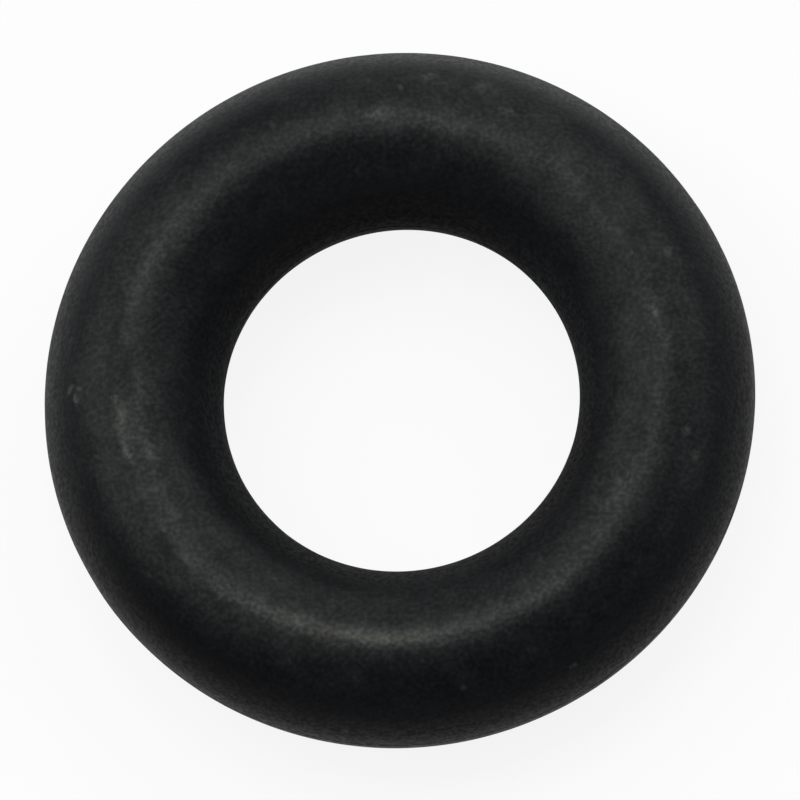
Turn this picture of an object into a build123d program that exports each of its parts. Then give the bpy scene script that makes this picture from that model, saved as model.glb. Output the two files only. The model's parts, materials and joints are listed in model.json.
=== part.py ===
from build123d import *
import os

# An o-ring: one moulded rubber ring of round section, with its axis on Z.
# The origin is the ring's centre, on the plane where the two halves of the mould met.
# All lengths are in millimetres.

# Driving dimensions
INSIDE_DIAMETER = 6.0  # across the bore, measured on the round section
SECTION_DIAMETER = 3.0  # thickness of the rubber
PARTING_RISE = 0.03  # how far the trimmed parting line stands out of the round section
PARTING_WIDTH = 0.10  # how wide its flat land is, along the ring's axis

# Worked out from them
CENTRELINE_RADIUS = (INSIDE_DIAMETER + SECTION_DIAMETER) / 2
LAND_TO_LAND = SECTION_DIAMETER + 2 * PARTING_RISE
FLANK_WIDTH = 2 * PARTING_RISE  # twice the rise, so that the flanks start inside the rubber


def parting_bar():
    """A flat bar right across the section. Its two ends are the lands at the bore and the rim,
    where the flash was trimmed off, and its corners are cut back to flanks at 45 degrees."""
    bar = Rectangle(LAND_TO_LAND, PARTING_WIDTH + 2 * FLANK_WIDTH)
    return chamfer(bar.vertices(), FLANK_WIDTH)


def ring_section():
    """The section on one side of the axis: a circle with a low parting line at each side."""
    section = Circle(SECTION_DIAMETER / 2) + parting_bar()
    return Plane.XZ * Pos(CENTRELINE_RADIUS, 0) * section


def o_ring():
    """The whole seal, turned from its section in one piece."""
    ring = revolve(ring_section(), Axis.Z, 360).solid()
    ring.label = "o_ring"
    return ring


os.makedirs("parts", exist_ok=True)
export_step(o_ring(), "parts/o_ring.step")
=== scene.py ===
import json
import math

import bpy
import numpy as np
from mathutils import Matrix, Quaternion, Vector, noise


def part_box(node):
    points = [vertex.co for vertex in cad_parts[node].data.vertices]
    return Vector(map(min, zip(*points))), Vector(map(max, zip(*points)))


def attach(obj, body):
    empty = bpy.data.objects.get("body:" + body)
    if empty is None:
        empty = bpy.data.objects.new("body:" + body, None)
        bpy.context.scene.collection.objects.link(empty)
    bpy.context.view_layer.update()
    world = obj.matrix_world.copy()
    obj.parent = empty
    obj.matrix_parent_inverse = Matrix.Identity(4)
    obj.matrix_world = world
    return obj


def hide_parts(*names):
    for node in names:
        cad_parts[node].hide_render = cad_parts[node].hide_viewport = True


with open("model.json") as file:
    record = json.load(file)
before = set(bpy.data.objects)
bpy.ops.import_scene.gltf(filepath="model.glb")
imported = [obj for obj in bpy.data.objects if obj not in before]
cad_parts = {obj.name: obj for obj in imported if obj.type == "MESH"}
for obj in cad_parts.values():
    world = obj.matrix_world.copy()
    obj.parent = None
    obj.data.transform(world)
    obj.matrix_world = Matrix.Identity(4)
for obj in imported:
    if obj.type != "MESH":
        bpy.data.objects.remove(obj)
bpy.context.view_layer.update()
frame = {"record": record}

# ---------------------------------------------------------------- sizes, from the frame
MM = 0.001
BODY = "root"
NODE = "o_ring"
MOUNTS = {m["name"]: m["dims"] for m in frame["record"]["mounts"]}
LOW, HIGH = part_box(NODE)
SECTION_RADIUS = (HIGH.z - LOW.z) / 2
CENTRELINE_RADIUS = (MOUNTS["outer_seal"]["r_mm"] + MOUNTS["inner_seat"]["r_mm"]) * MM / 2
LAND_HALF_WIDTH = MOUNTS["outer_seal"]["length_mm"] * MM / 2
LAND_RISE = min(HIGH.x, HIGH.y) - CENTRELINE_RADIUS - SECTION_RADIUS

# ---------------------------------------------------------------- the ring's shape
STEPS_AROUND = 660  # quads round the ring
STEPS_OVER = 66  # quads over each half of the section, from parting line to parting line
LAND_STEPS = 2  # quads across each half of a land, and as many up each flank
TRIM_LEAST = 0  # the share of the parting line's rise that is left where it was trimmed closest
TRIM_MOST = 0.3  # and where it was trimmed least
TRIM_PITCH = 0.9 * MM  # how long the trimmed line's waves are
SWELL_DEPTH = 0.010 * MM  # how deep the moulding's long unevenness is
SWELL_PITCH = 2.6 * MM  # and how long its waves are
SWELL_SEED = 20
RIPPLE_DEPTH = 0.0022 * MM  # the same for the fine unevenness, which mottles the sheen
RIPPLE_PITCH = 0.42 * MM
RIPPLE_SEED = 40
BORE_SHIFT = 0.045 * MM  # how far the bore is out of centre
BORE_SHIFT_TURN = 334  # and the side that it is moved to, in degrees round from +X

# ---------------------------------------------------------------- the ring's finish
# Each noise has the length of its pattern, the number of its finer layers and their strength.
GRAIN = (0.075 * MM, 2, 0.4)
CLOUD = (0.6 * MM, 3, 0.6)
SPECKS = (0.17 * MM, 1, 0.4)
GRAIN_DEPTH = 0.004 * MM  # how deep the gaps between the grain's flecks seem

# Colours. A share says how much of its colour lies over the rubber where it is thickest,
# and a span says over which part of its noise it comes in.
RUBBER_DARK = (0.0038, 0.0042, 0.0053, 1)  # between the grain's flecks
RUBBER_PALE = (0.0065, 0.0070, 0.0089, 1)  # in the flecks
FLECK_SPAN = (0.3, 0.7)  # of the grain, from its gaps to its flecks
BLOOM_COLOUR = (0.018, 0.020, 0.022, 1)  # the dull film that rubber sweats out
BLOOM_SHARE = 0.20
BLOOM_SPAN = (0.42, 0.72)  # of the cloud
DUST_COLOUR = (0.08, 0.085, 0.085, 1)
DUST_SHARE = 0.22
DUST_SPAN = (0.62, 0.82)  # of the specks
DUSTY_SPAN = (0.45, 0.65)  # of the cloud, in whose thick parts the dust lies
# the pale marks' colour: scuffs, and pale spots along the crown that are a painted highlight
SCUFF_AND_HIGHLIGHT_COLOUR = (0.075, 0.08, 0.075, 1)
SCUFF_AND_HIGHLIGHT_GRAIN = (0.4, 1.0)  # the share of the pale marks' colour between the grain's flecks, and in them
HIGHLIGHT_TINT_COLOUR = (0.012, 0.012, 0.0064, 1)  # painted highlight: a faint warm tint along the crown where the wear and sheen marks are strongest, which warms its highlight
HIGHLIGHT_TINT_SHARE = 0.8
HIGHLIGHT_TINT_SPAN = (0.35, 0.8)  # of the wear and sheen marks, for the painted highlight tint
PAINTED_LIGHT_COLOUR = (0.0052, 0.0050, 0.0054)  # painted light: added to the rubber's own colour, times the light and shade marks where they are above 0

# The film is the share of the mirror-like sheen that the surface keeps.
SHEEN_LEVEL = 0.26  # how strong the whole sheen is, well under a clean plastic's 0.5
FILM_LEAST = 0.40  # between the grain's flecks
FILM_MOST = 0.73  # in the flecks
FLECK_POWER = 1.5  # makes the flecks smaller than the gaps between them
FILM_CLOUD = (-0.05, 0.15)  # what is added in the cloud's thin parts and in its thick ones
WEAR_AND_SHEEN_GAIN = 1.6  # what a wear and sheen mark of 1 adds to the film, as a share of it
WEAR_AND_SHEEN_CLOUD = (0.5, 1.3)  # how far the cloud weakens or strengthens the wear and sheen marks
SHEEN_SPAN = (0.3, 0.7)  # of the cloud, for FILM_CLOUD and for the cloud on the wear and sheen marks
FLANK_FILM = 0.1  # the share of the film that is left below FILM_LOW
FILM_LOW = 0.60 * SECTION_RADIUS  # a height above the parting plane, or as far below it
FILM_HIGH = 0.85 * SECTION_RADIUS  # the height from which the film is whole

# Roughness, which changes with the height and from the bore to the rim.
CROWN_ROUGHNESS = 0.40
WORN_ROUGHNESS = 0.30  # of the crown where the wear and sheen marks add up to 1
RIM_ROUGHNESS = 0.64
EDGE_ROUGHNESS = 0.62  # of the rim's parting line, which trimming left smoother
BORE_ROUGHNESS = 0.87
FLECK_ROUGHNESS = 0.08  # how much rougher the flanks are between the flecks, and smoother in them
ROUGH_SPAN = (0.35, 0.65)  # of the grain, for FLECK_ROUGHNESS and for the pale marks' share in the grain
CROWN_HEIGHT = 0.90 * SECTION_RADIUS  # the height from which it is as smooth as at the crown
FLANK_HEIGHT = 0.33 * SECTION_RADIUS  # and the one where the flank's own roughness begins

# Two attributes of the mesh say how its points differ.
WEAR_AND_SHEEN = "wear_and_sheen"  # how far a point's sheen is raised or, below 0, lowered: polish and dulling from handling, and painted highlight and painted shade
LIGHT_AND_SHADE = "light_and_shade"  # painted light and shade: how much paler the rubber is painted or, below 0, how much darker
SCUFF_AND_HIGHLIGHT_DEPTH = 0.10 * MM  # how far a pale mark, a scuff or a painted highlight spot, reaches into the rubber and out of it

# Pale marks: scuffs left by handling and, along the crown, pale spots where its highlight is brighter,
# a painted highlight. Each has its place round the ring and round the section in degrees, its half
# length and half width in millimetres, the turn of its length from the ring's own line in degrees, and
# the share of the marks' colour at its
# middle. The places are the output of scratch programs: one worked out 32 of them from points read off
# the photograph, and another found two as bright spots of it. A few were then moved by up to 3
# degrees. The rest was set to match the photograph.
SCUFF_AND_HIGHLIGHT_MARKS = (
    (183, 56, 0.14, 0.08, 16, 1.00),
    (181, 51, 0.14, 0.07, -45, 0.80),
    (181, 59, 0.10, 0.07, 60, 0.45),
    (184, 84, 0.16, 0.09, 0, 0.45),
    (188, 87, 0.26, 0.11, 0, 0.60),
    (191, 85, 0.30, 0.10, 0, 0.50),
    (196, 86, 0.26, 0.08, 12, 0.62),
    (198, 100, 0.12, 0.09, 0, 0.42),
    (182, 100, 0.45, 0.08, 0, 0.25),
    (214, 87, 0.14, 0.09, 0, 0.25),
    (208, 69, 0.10, 0.08, 0, 0.12),
    (222, 86, 0.35, 0.12, 8, 0.26),
    (232, 84, 0.30, 0.10, -6, 0.28),
    (241, 87, 0.20, 0.10, 0, 0.25),
    (265, 89, 0.12, 0.08, 0, 0.25),
    (94, 87, 0.28, 0.15, 20, 0.50),
    (84, 57, 0.17, 0.12, 20, 0.52),
    (89, 68, 0.08, 0.08, 0, 0.40),
    (82, 88, 0.25, 0.12, 0, 0.15),
    (74, 57, 0.17, 0.12, 0, 0.42),
    (68, 71, 0.17, 0.11, 0, 0.45),
    (127, 86, 0.15, 0.10, 0, 0.25),
    (25, 67, 0.11, 0.11, 0, 0.50),
    (14, 89, 0.18, 0.07, 0, 0.70),
    (9, 87, 0.12, 0.08, 0, 0.30),
    (355, 92, 0.50, 0.08, 0, 0.20),
    (345, 90, 0.50, 0.08, 0, 0.15),
    (349, 70, 0.12, 0.10, 0, 0.50),
    (345, 60, 0.16, 0.09, 0, 0.38),
    (339, 122, 0.10, 0.08, 0, 0.35),
    (302, 36, 0.10, 0.08, 0, 0.50),
    (293, 54, 0.40, 0.30, 0, 0.06),
    (283, 53, 0.09, 0.08, 0, 0.35),
    (262, 20, 0.10, 0.08, 0, 0.50),
)
# Wear and sheen marks, written the same way. Most places are where the render differed from the
# photograph, so most marks are painted highlight where they raise the sheen and painted shade where
# they lower it, as well as wear. Most places are where scratch programs found that the render
# differed from the photograph, so a mark may stand for its light as well as for wear. The last one
# runs all round the crown.
WEAR_AND_SHEEN_MARKS = (
    (262, 91, 2.00, 0.16, 0, 0.63),
    (281, 93, 0.55, 0.17, 0, -0.20),
    (274, 86, 0.50, 0.12, 0, 0.18),
    (286, 84, 0.40, 0.12, 0, 0.14),
    (228, 43, 2.00, 0.35, 0, -0.45),
    (219, 82, 0.40, 0.16, 0, -0.28),
    (206, 56, 0.90, 0.15, 0, 0.30),
    (228, 87, 0.80, 0.13, 0, 0.27),
    (197, 100, 1.10, 0.15, 0, 0.42),
    (184, 107, 0.40, 0.15, 0, 0.35),
    (190, 121, 0.80, 0.17, 0, -0.30),
    (188, 88, 0.70, 0.14, 0, 0.22),
    (179, 53, 0.40, 0.13, 0, 0.40),
    (178, 90, 0.45, 0.19, 0, -0.45),
    (170, 82, 0.30, 0.13, 0, -0.25),
    (156, 85, 0.60, 0.13, 0, 0.20),
    (140, 87, 3.40, 0.14, 0, 0.12),
    (118, 66, 0.95, 0.26, 0, -0.30),
    (149, 76, 0.50, 0.14, 0, 0.16),
    (120, 87, 1.30, 0.17, 0, -0.24),
    (120, 105, 1.00, 0.20, 0, -0.32),
    (127, 97, 0.40, 0.15, 0, -0.16),
    (82, 60, 0.30, 0.13, 0, 0.45),
    (67, 73, 0.30, 0.13, 0, 0.30),
    (76, 94, 0.80, 0.13, 0, 0.18),
    (62, 50, 1.40, 0.40, 0, 0.36),
    (29, 86, 0.35, 0.13, 0, -0.22),
    (56, 78, 0.40, 0.13, 0, 0.18),
    (42, 101, 0.40, 0.12, 0, 0.14),
    (40, 87, 0.35, 0.12, 0, -0.25),
    (23, 111, 0.50, 0.18, 0, -0.20),
    (10, 129, 1.20, 0.15, 0, 0.38),
    (10, 84, 0.60, 0.20, 0, 0.15),
    (341, 58, 0.45, 0.24, 0, 0.35),
    (333, 99, 0.40, 0.17, 0, 0.42),
    (325, 104, 1.40, 0.16, 0, 0.12),
    (338, 124, 0.50, 0.16, 0, 0.28),
    (306, 86, 0.45, 0.16, 0, 0.42),
    (0, 90, 60.0, 0.16, 0, 0.08),
)
# Painted light and shade, written the same way: above 0 it is how many times the painted light colour
# is added, as painted light along the rim's upper edge, in the bore and on a few patches, and below 0
# the share of the rubber's own colour that is missing, as painted shade on the bore's lower wall and on
# the front of the rim. Most places were found the same way as those of the wear and sheen marks. Most
# places come from the same programs.
LIGHT_AND_SHADE_MARKS = (
    (103, 137, 2.60, 0.42, 0, 1.10),
    (112, 156, 3.20, 0.30, 0, 0.90),
    (86, 34, 3.20, 0.25, 0, 3.30),
    (130, 31, 2.20, 0.25, 0, 1.80),
    (175, 27, 1.80, 0.24, 0, 1.50),
    (55, 29, 2.60, 0.30, 0, 1.90),
    (32, 24, 1.20, 0.20, 0, 1.20),
    (4, 27, 1.20, 0.22, 0, -0.60),
    (341, 58, 0.45, 0.24, 0, 0.70),
    (10, 130, 1.20, 0.15, 0, 0.60),
    (338, 142, 0.90, 0.25, 0, -0.30),
    (315, 145, 2.40, 0.36, 0, -0.70),
    (240, 140, 2.40, 0.30, 0, -0.70),
    (310, 9, 5.40, 0.36, 0, -0.80),
    (222, 34, 2.80, 0.37, 0, -0.80),
    (227, 9, 2.40, 0.24, 0, 2.60),
)


def section_angles():
    """Angles round the section, from 0 at the rim, with points at the corners of both lands."""
    land_corner = math.atan2(LAND_HALF_WIDTH, SECTION_RADIUS + LAND_RISE)
    reach = (SECTION_RADIUS + LAND_RISE + LAND_HALF_WIDTH) / SECTION_RADIUS
    flank_foot = math.pi / 4 - math.acos(reach / math.sqrt(2))
    half = [
        *np.linspace(0, land_corner, LAND_STEPS, endpoint=False),
        *np.linspace(land_corner, flank_foot, LAND_STEPS, endpoint=False),
        *np.linspace(flank_foot, math.pi - flank_foot, STEPS_OVER, endpoint=False),
        *np.linspace(math.pi - flank_foot, math.pi - land_corner, LAND_STEPS, endpoint=False),
        *np.linspace(math.pi - land_corner, math.pi, LAND_STEPS, endpoint=False),
    ]
    return np.array(half + [math.pi + a for a in half])


def section_reach(angle, rise):
    """Distance from the section's centre to its outline: the round rubber, or the parting line
    where that stands further out, with a flat land and flanks at 45 degrees."""
    across, along = abs(math.cos(angle)), abs(math.sin(angle))
    if along > across:
        return SECTION_RADIUS
    land = (SECTION_RADIUS + rise) / across
    flank = (SECTION_RADIUS + rise + LAND_HALF_WIDTH) / (across + along)
    return max(SECTION_RADIUS, min(land, flank))


def wave(point, pitch, seed):
    """Smooth noise from 0 to 1, with about one wave to a pitch."""
    value = noise.noise(point / pitch + Vector((seed, 0, 0)))
    return min(max(0.5 + 0.5 * value, 0), 1)


def ring_mesh(name):
    """The ring, turned point by point, so that its surface can be as uneven as a moulding's.
    The angle of a point round the section is 0 at the rim, 90 at the crown and 180 at the bore."""
    angles = section_angles()
    over = len(angles)
    points = []
    for step in range(STEPS_AROUND):
        turn = 2 * math.pi * step / STEPS_AROUND
        outward = Vector((math.cos(turn), math.sin(turn), 0))
        for angle in angles:
            side = 1 if math.cos(angle) > 0 else -1
            seat = outward * (CENTRELINE_RADIUS + side * SECTION_RADIUS)
            trimmed = TRIM_LEAST + (TRIM_MOST - TRIM_LEAST) * wave(seat, TRIM_PITCH, side)
            ray = outward * math.cos(angle) + Vector((0, 0, math.sin(angle)))
            smooth = outward * CENTRELINE_RADIUS + ray * SECTION_RADIUS
            sunk = SWELL_DEPTH * wave(smooth, SWELL_PITCH, SWELL_SEED)
            sunk += RIPPLE_DEPTH * wave(smooth, RIPPLE_PITCH, RIPPLE_SEED)
            shift = BORE_SHIFT * math.cos(turn - math.radians(BORE_SHIFT_TURN))
            shift *= max(-math.cos(angle), 0)
            reach = section_reach(angle, LAND_RISE * trimmed) - sunk - shift
            points.append(outward * CENTRELINE_RADIUS + ray * reach)
    quads = []
    for step in range(STEPS_AROUND):
        here, ahead = step * over, (step + 1) % STEPS_AROUND * over
        for i in range(over):
            j = (i + 1) % over
            quads.append((here + i, ahead + i, ahead + j, here + j))
    mesh = bpy.data.meshes.new(name)
    mesh.from_pydata(points, [], quads)
    mesh.shade_smooth()
    sharpen(mesh, angles)
    for key, marks in ((WEAR_AND_SHEEN, WEAR_AND_SHEEN_MARKS), (LIGHT_AND_SHADE, LIGHT_AND_SHADE_MARKS)):
        amounts = mesh.attributes.new(key, "FLOAT", "POINT")
        amounts.data.foreach_set("value", mark_amounts(angles, marks))
    return mesh


def sharpen(mesh, angles):
    """Keeps the corners of the trimmed lands crisp: the edges round the ring along them are sharp."""
    land_corner = math.atan2(LAND_HALF_WIDTH, SECTION_RADIUS + LAND_RISE)
    at_corner = np.isclose(np.abs((angles + math.pi / 2) % math.pi - math.pi / 2), land_corner)
    ends = np.empty(2 * len(mesh.edges), dtype=int)
    mesh.edges.foreach_get("vertices", ends)
    row = ends.reshape(-1, 2) % len(angles)
    sharp = at_corner[row[:, 0]] & (row[:, 0] == row[:, 1])
    marks = mesh.attributes.new("sharp_edge", "BOOLEAN", "EDGE")
    marks.data.foreach_set("value", sharp)


def mark_amounts(angles, marks):
    """What the marks add up to at each of the ring's points, in the order of ring_mesh."""
    turns = np.arange(STEPS_AROUND) * 360 / STEPS_AROUND
    turn, over = np.meshgrid(turns, np.degrees(angles), indexing="ij")
    amounts = np.zeros(turn.shape)
    for at_turn, at_over, half_length, half_width, tilt, strength in marks:
        along = np.radians((turn - at_turn + 180) % 360 - 180)
        along = along * (CENTRELINE_RADIUS + SECTION_RADIUS * math.cos(math.radians(at_over))) / MM
        across = np.radians((over - at_over + 180) % 360 - 180) * SECTION_RADIUS / MM
        c, s = math.cos(math.radians(tilt)), math.sin(math.radians(tilt))
        lengthwise, crosswise = along * c + across * s, across * c - along * s
        amounts += strength * np.exp(-(lengthwise / half_length) ** 2 - (crosswise / half_width) ** 2)
    return amounts.ravel()


def link(mesh):
    """An object of that mesh, in the scene."""
    piece = bpy.data.objects.new(mesh.name, mesh)
    bpy.context.scene.collection.objects.link(piece)
    return piece


# ---------------------------------------------------------------- materials
def new_material(name):
    """An empty material, and its node tree."""
    material = bpy.data.materials.new(name)
    material.use_nodes = True
    material.node_tree.nodes.clear()
    return material, material.node_tree


def add(tree, kind, inputs=None, **settings):
    """A node of that kind, with its settings, and its inputs set or linked."""
    node = tree.nodes.new(kind)
    for key, value in settings.items():
        setattr(node, key, value)
    for key, value in (inputs or {}).items():
        if isinstance(value, bpy.types.NodeSocket):
            tree.links.new(value, node.inputs[key])
        else:
            node.inputs[key].default_value = value
    return node


def mark_place(turn, over, half_length, half_width, tilt):
    """Where a mark sits on the ring, for a Mapping node: its middle, its turn and its half sizes."""
    t, o, lean = math.radians(turn), math.radians(over), math.radians(tilt)
    outward = Vector((math.cos(t), math.sin(t), 0))
    normal = outward * math.cos(o) + Vector((0, 0, math.sin(o)))
    along = Vector((-math.sin(t), math.cos(t), 0))
    across = normal.cross(along)
    length = along * math.cos(lean) + across * math.sin(lean)
    width = normal.cross(length)
    middle = outward * CENTRELINE_RADIUS + normal * SECTION_RADIUS
    rotation = Matrix((length, width, normal)).transposed().to_euler()
    return middle, rotation, Vector((half_length * MM, half_width * MM, SCUFF_AND_HIGHLIGHT_DEPTH))


def black_rubber():
    """Satin moulded rubber: nearly black, with a matt grain, a cloudy bloom, dust, scuffs and wear, and
    with painted light and shade, a painted highlight tint, painted highlight spots and sheen marks that
    are partly painted highlight and shade.
    """
    material, tree = new_material("black_rubber")
    place = add(tree, "ShaderNodeTexCoord").outputs["Object"]

    def noise_at(pitch, layers, strength):
        node = add(tree, "ShaderNodeTexNoise",
                   {"Vector": place, "Scale": 1 / pitch, "Detail": layers, "Roughness": strength})
        return node.outputs["Fac"]

    def remap(value, span, result=(0, 1)):
        """The value, carried from its span to that of the result and held at the ends."""
        node = add(tree, "ShaderNodeMapRange",
                   {"Value": value, "From Min": span[0], "From Max": span[1],
                    "To Min": result[0], "To Max": result[1]})
        return node.outputs["Result"]

    def work(operation, first, second):
        return add(tree, "ShaderNodeMath", {0: first, 1: second}, operation=operation).outputs[0]

    def work_on_colours(operation, inputs):
        return add(tree, "ShaderNodeVectorMath", inputs, operation=operation).outputs[0]

    def blend(first, second, share):
        node = add(tree, "ShaderNodeMix", {"A": first, "B": second, "Factor": share}, data_type="RGBA")
        return node.outputs["Result"]

    grain, cloud, specks = noise_at(*GRAIN), noise_at(*CLOUD), noise_at(*SPECKS)
    flecks = remap(grain, FLECK_SPAN)
    wear_and_sheen = add(tree, "ShaderNodeAttribute", attribute_name=WEAR_AND_SHEEN).outputs["Fac"]
    light_and_shade = add(tree, "ShaderNodeAttribute", attribute_name=LIGHT_AND_SHADE).outputs["Fac"]

    # Where a point is: its height from the parting plane, and its distance from the axis
    x, y, z = add(tree, "ShaderNodeSeparateXYZ", {"Vector": place}).outputs
    height = add(tree, "ShaderNodeMath", {0: z}, operation="ABSOLUTE").outputs[0]
    flat_place = add(tree, "ShaderNodeCombineXYZ", {"X": x, "Y": y}).outputs[0]
    from_axis = add(tree, "ShaderNodeVectorMath", {0: flat_place}, operation="LENGTH").outputs["Value"]
    rubbed = remap(height, (FILM_LOW, FILM_HIGH))  # 1 on the crown, which hands and dust reach

    # Colour: the rubber, the bloom and the dust, then the painted light and shade, the painted warm
    # highlight tint, and the scuffs with their painted highlight spots
    rubber = blend(RUBBER_DARK, RUBBER_PALE, flecks)
    bloom = work("MULTIPLY", remap(cloud, BLOOM_SPAN, (0, BLOOM_SHARE)), rubbed)
    bloomed = blend(rubber, BLOOM_COLOUR, bloom)
    dust = work("MULTIPLY", remap(specks, DUST_SPAN, (0, DUST_SHARE)), remap(cloud, DUSTY_SPAN))
    dusty = blend(bloomed, DUST_COLOUR, work("MULTIPLY", dust, rubbed))
    # painted light and shade: marks above 0 add the painted light colour, and marks below 0 take away
    # part of the rubber's own
    kept = work("ADD", 1.0, work("MINIMUM", light_and_shade, 0.0))
    darkened = work_on_colours("SCALE", {0: dusty, "Scale": kept})
    added = work_on_colours("SCALE", {0: PAINTED_LIGHT_COLOUR, "Scale": work("MAXIMUM", light_and_shade, 0.0)})
    lit_and_shaded = work_on_colours("ADD", {0: darkened, 1: added})
    # painted highlight: a faint warm tint where the crown's brightest highlight lies
    highlight_tinted = blend(lit_and_shaded, HIGHLIGHT_TINT_COLOUR, remap(wear_and_sheen, HIGHLIGHT_TINT_SPAN, (0, HIGHLIGHT_TINT_SHARE)))
    # scuffs, and pale spots painted along the crown's highlight
    scuffs_and_highlights = 0.0
    for *mark, strength in SCUFF_AND_HIGHLIGHT_MARKS:
        location, rotation, scale = mark_place(*mark)
        local = add(tree, "ShaderNodeMapping",
                    {"Vector": place, "Location": location, "Rotation": rotation, "Scale": scale},
                    vector_type="TEXTURE").outputs[0]
        spot = add(tree, "ShaderNodeTexGradient", {"Vector": local},
                   gradient_type="SPHERICAL").outputs["Fac"]
        scuffs_and_highlights = add(tree, "ShaderNodeMath", {0: spot, 1: strength, 2: scuffs_and_highlights},
                     operation="MULTIPLY_ADD").outputs[0]
    scuffed_and_highlighted = work("MULTIPLY", scuffs_and_highlights, remap(grain, ROUGH_SPAN, SCUFF_AND_HIGHLIGHT_GRAIN))
    base = blend(highlight_tinted, SCUFF_AND_HIGHLIGHT_COLOUR, scuffed_and_highlighted)

    # Sheen: flecks, the cloud, the dull flanks, and the wear and sheen marks, partly painted highlight
    # and painted shade
    clouded_wear_and_sheen = work("MULTIPLY", wear_and_sheen, remap(cloud, SHEEN_SPAN, WEAR_AND_SHEEN_CLOUD))
    film = remap(work("POWER", flecks, FLECK_POWER), (0, 1), (FILM_LEAST, FILM_MOST))
    film = work("ADD", film, remap(cloud, SHEEN_SPAN, FILM_CLOUD))
    film = work("MULTIPLY", film, remap(rubbed, (0, 1), (FLANK_FILM, 1)))
    film = work("MULTIPLY", film, work("ADD", 1.0, work("MULTIPLY", clouded_wear_and_sheen, WEAR_AND_SHEEN_GAIN)))

    # Roughness: from the bore to the rim, from the flanks to the crown, and in the grain
    across = (CENTRELINE_RADIUS - SECTION_RADIUS / 2, CENTRELINE_RADIUS + SECTION_RADIUS / 2)
    edge = remap(from_axis, across, (BORE_ROUGHNESS, EDGE_ROUGHNESS))
    flank = remap(from_axis, across, (BORE_ROUGHNESS, RIM_ROUGHNESS))
    flank = remap(height, (0, FLANK_HEIGHT), (edge, flank))
    crown = remap(wear_and_sheen, (0, 1), (CROWN_ROUGHNESS, WORN_ROUGHNESS))
    roughness = remap(height, (FLANK_HEIGHT, CROWN_HEIGHT), (flank, crown))
    grainy = work("MULTIPLY", remap(grain, ROUGH_SPAN, (FLECK_ROUGHNESS, -FLECK_ROUGHNESS)),
                  remap(rubbed, (0, 1), (1, 0)))
    roughness = work("ADD", roughness, grainy)

    bump = add(tree, "ShaderNodeBump", {"Strength": 1.0, "Distance": GRAIN_DEPTH, "Height": grain})
    shader = add(tree, "ShaderNodeBsdfPrincipled",
                 {"Base Color": base, "Normal": bump.outputs["Normal"], "Roughness": roughness,
                  "Specular IOR Level": SHEEN_LEVEL, "Specular Tint": film})
    add(tree, "ShaderNodeOutputMaterial", {"Surface": shader.outputs["BSDF"]})
    return material


def pale_floor():
    """A pale sheet that keeps the ring's shadow. To the camera, and in what is mirrored or seen
    through, most of its brightness is its own, so that it is white."""
    material, tree = new_material("pale_floor")
    ray = add(tree, "ShaderNodeLightPath").outputs
    seen = add(tree, "ShaderNodeMath", {0: ray["Is Camera Ray"], 1: ray["Is Glossy Ray"]},
               operation="ADD").outputs[0]
    seen = add(tree, "ShaderNodeMath", {0: seen, 1: ray["Is Transmission Ray"]},
               operation="ADD", use_clamp=True).outputs[0]
    share = add(tree, "ShaderNodeMath", {0: seen, 1: FLOOR_OWN_LIGHT}, operation="MULTIPLY").outputs[0]
    paper = add(tree, "ShaderNodeBsdfDiffuse", {"Color": FLOOR_COLOUR}).outputs[0]
    own = add(tree, "ShaderNodeEmission", {"Color": (1, 1, 1, 1), "Strength": 1.0}).outputs[0]
    mixed = add(tree, "ShaderNodeMixShader", {0: share, 1: paper, 2: own}).outputs[0]
    add(tree, "ShaderNodeOutputMaterial", {"Surface": mixed})
    return material


# ---------------------------------------------------------------- stage, lights and camera
FLOOR_HALF = 0.6  # half the floor's side, in metres, as every length below unless it says otherwise
FLOOR_COLOUR = (0.9, 0.9, 0.9, 1)
FLOOR_OWN_LIGHT = 0.88  # the share of its brightness that is its own, where it is seen
WORLD_LIGHT = 0.12  # the radiance that comes from all sides
LAMP_DISTANCE = 0.5
# Each lamp has its name, its azimuth and elevation in degrees, its side, its level and its colour.
# Scratch programs picked the places and sizes from a grid, to fit the photograph's shading, and worked
# out the levels and colours. Those are rounded, some were changed, and left_softbox and right_softbox
# were moved.
LAMPS = (
    ("key_softbox", 192, 70, 0.27, 3.5, (0.96, 1, 0.93)),
    ("left_softbox", 244, 37, 0.31, 1.95, (0.90, 1, 0.94)),
    ("high_left_softbox", 270, 57, 0.30, 1.8, (0.985, 1, 0.925)),
    ("back_softbox", 180, 28, 0.36, 1.1, (0.96, 1, 0.93)),
    ("right_back_softbox", 135, 44, 0.27, 2.45, (0.95, 1, 0.95)),
    ("right_softbox", 100, 30, 0.28, 0.9, (0.92, 1, 0.95)),
)
CAMERA_AZIMUTH = 18  # degrees, 0 looks along +Y
CAMERA_ELEVATION = 75
CAMERA_ROLL = -18  # turns the picture, so that +X runs across it
CAMERA_LENS = 500  # mm, a long lens
CAMERA_SENSOR = 36  # mm
CAMERA_CLIP = (0.001, 10)  # how near and how far it sees
AIM = Vector((0.015, -0.025, 0)) * MM  # the point in the middle of the picture
VIEW_WIDTH = 13.46 * MM  # how much the picture takes in there


def direction(azimuth, elevation):
    """The unit vector towards a place round the ring, its azimuth as the camera's."""
    a, e = math.radians(azimuth), math.radians(elevation)
    return Vector((math.sin(a) * math.cos(e), -math.cos(a) * math.cos(e), math.sin(e)))


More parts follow.
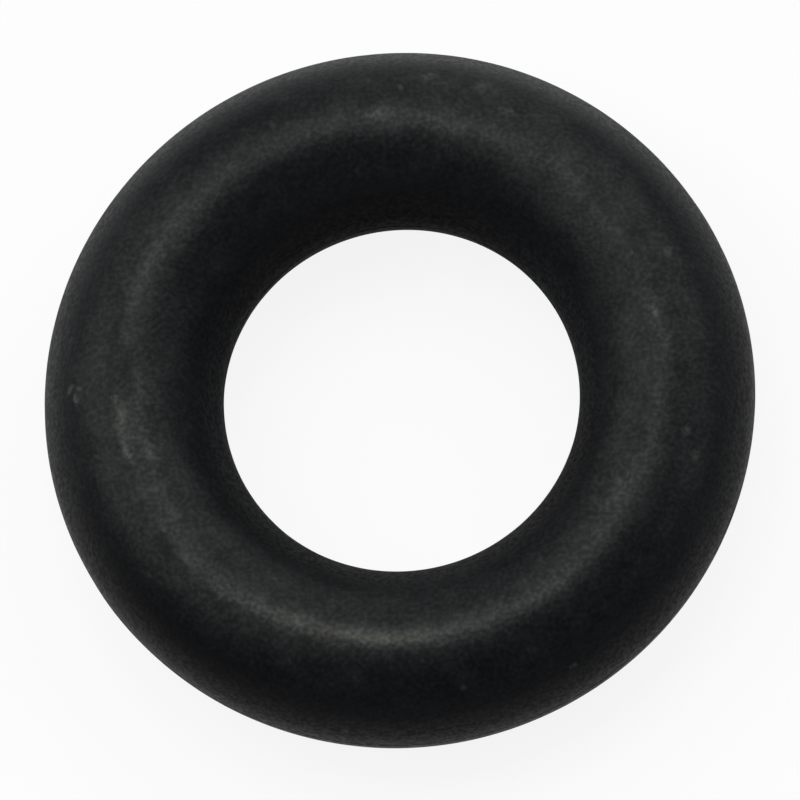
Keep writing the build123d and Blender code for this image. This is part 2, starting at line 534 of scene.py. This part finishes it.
def lamp(name, azimuth, elevation, size, level, colour):
    """A square softbox that faces the ring. Its level is the radiance of its face."""
    data = bpy.data.lights.new(name, "AREA")
    data.shape = "SQUARE"
    data.size = size
    data.energy = level * math.pi * size ** 2
    data.color = colour
    box = bpy.data.objects.new(name, data)
    box.location = direction(azimuth, elevation) * LAMP_DISTANCE
    box.rotation_mode = "QUATERNION"
    box.rotation_quaternion = direction(azimuth, elevation).to_track_quat("Z", "Y")
    box.visible_camera = False
    bpy.context.scene.collection.objects.link(box)


def make_floor():
    """The sheet that the ring lies on."""
    mesh = bpy.data.meshes.new("floor")
    corners = [(x * FLOOR_HALF, y * FLOOR_HALF, LOW.z) for x, y in ((-1, -1), (1, -1), (1, 1), (-1, 1))]
    mesh.from_pydata(corners, [], [(0, 1, 2, 3)])
    mesh.materials.append(pale_floor())
    floor = link(mesh)


def make_world():
    """A weak, even light from all sides."""
    world = bpy.data.worlds.new("studio")
    world.use_nodes = True
    background = world.node_tree.nodes["Background"]
    background.inputs["Color"].default_value = (1, 1, 1, 1)
    background.inputs["Strength"].default_value = WORLD_LIGHT
    bpy.context.scene.world = world


def make_camera():
    """The camera, at the photograph's angle, far enough off that its view is nearly flat."""
    data = bpy.data.cameras.new("camera")
    data.sensor_width = CAMERA_SENSOR
    data.lens = CAMERA_LENS
    camera = bpy.data.objects.new("camera", data)
    back = direction(CAMERA_AZIMUTH, CAMERA_ELEVATION)
    camera.location = AIM + back * VIEW_WIDTH * CAMERA_LENS / CAMERA_SENSOR
    camera.rotation_mode = "QUATERNION"
    roll = Quaternion((0, 0, 1), math.radians(CAMERA_ROLL))
    camera.rotation_quaternion = back.to_track_quat("Z", "Y") @ roll
    data.clip_start, data.clip_end = CAMERA_CLIP
    bpy.context.scene.collection.objects.link(camera)
    bpy.context.scene.camera = camera


# ---------------------------------------------------------------- the scene
make_camera()
make_world()
make_floor()
for settings in LAMPS:
    lamp(*settings)

ring = link(ring_mesh("rubber_ring"))
ring.data.materials.append(black_rubber())
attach(ring, BODY)
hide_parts(NODE)

bpy.context.scene.view_settings.view_transform = "Standard"
